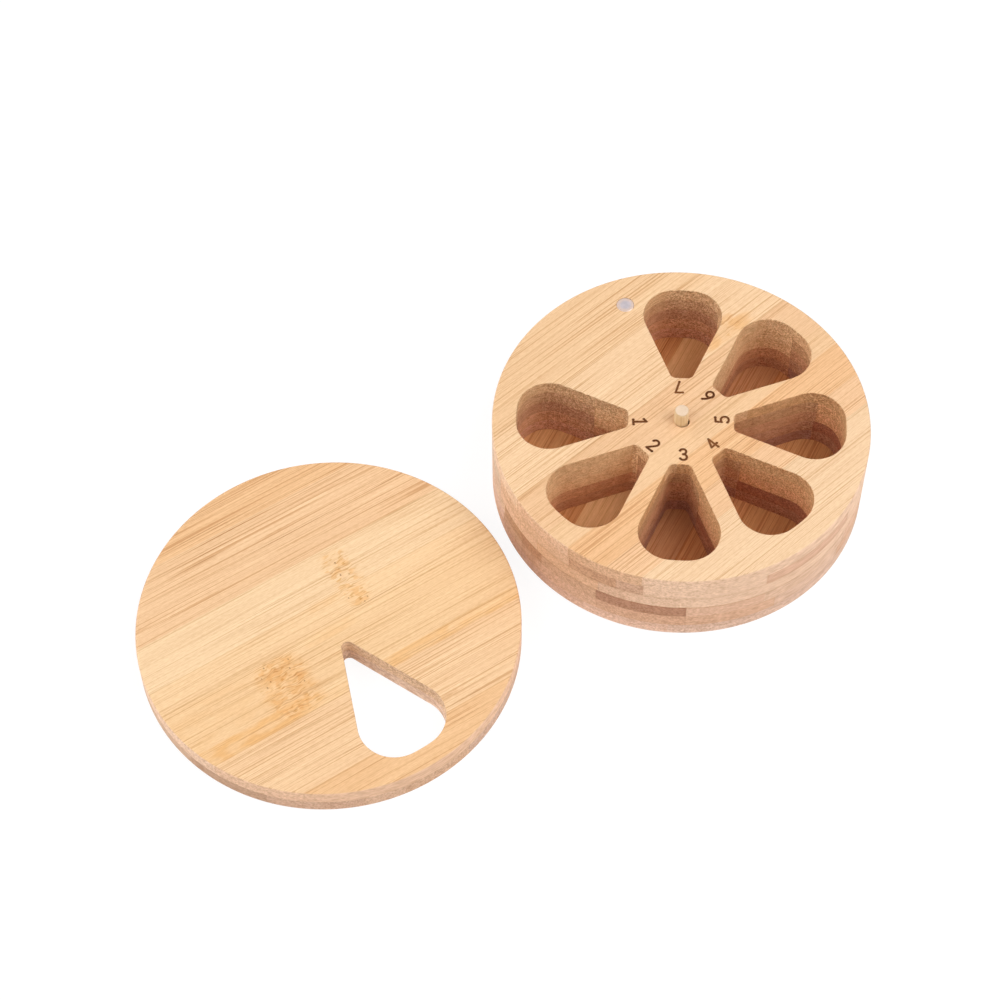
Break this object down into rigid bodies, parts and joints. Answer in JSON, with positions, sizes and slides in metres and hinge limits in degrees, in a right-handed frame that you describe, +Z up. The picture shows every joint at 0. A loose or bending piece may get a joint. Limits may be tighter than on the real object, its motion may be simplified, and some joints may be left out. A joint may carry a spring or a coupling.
{
  "type": "wooden weekly pill box",
  "caption": "Round bamboo pill box with teardrop pockets round a wooden pin, and a flat round lid with a teardrop window and a magnet catch, lying beside it.",
  "frame": {"origin": "middle of the flat underside of the box, on the axis of its pin", "axes": "+Z up along the pin. The pockets lie along +X, +Y, -X, -Y and three of the diagonals; the blank part is at 135 degrees. The lid lies beside the box towards -X and -Y."},
  "size_m": [0.1991, 0.1635, 0.0321],
  "materials": {
    "face_bamboo": "satin",
    "core_bamboo": "satin",
    "pin_wood": "matte",
    "magnet_plating": "polished"
  },
  "bodies": {
    "box": {"lower_board_floor_ply": "core_bamboo", "lower_board_core_ply": "core_bamboo", "lower_board_top_ply": "core_bamboo", "upper_board_bottom_ply": "core_bamboo", "upper_board_core_ply": "core_bamboo", "upper_board_top_ply": "face_bamboo", "pivot_pin": "pin_wood", "base_magnet": "magnet_plating"},
    "lid": {"lid_bottom_ply": "core_bamboo", "lid_top_ply": "face_bamboo", "lid_magnet": "magnet_plating"}
  },
  "joints": [
    {"name": "lid_turn", "type": "hinge", "parent": "box", "child": "lid", "pos_m": [-0.09407, -0.05855, 0], "axis": [0, 0, 1], "continuous": true}
  ]
}
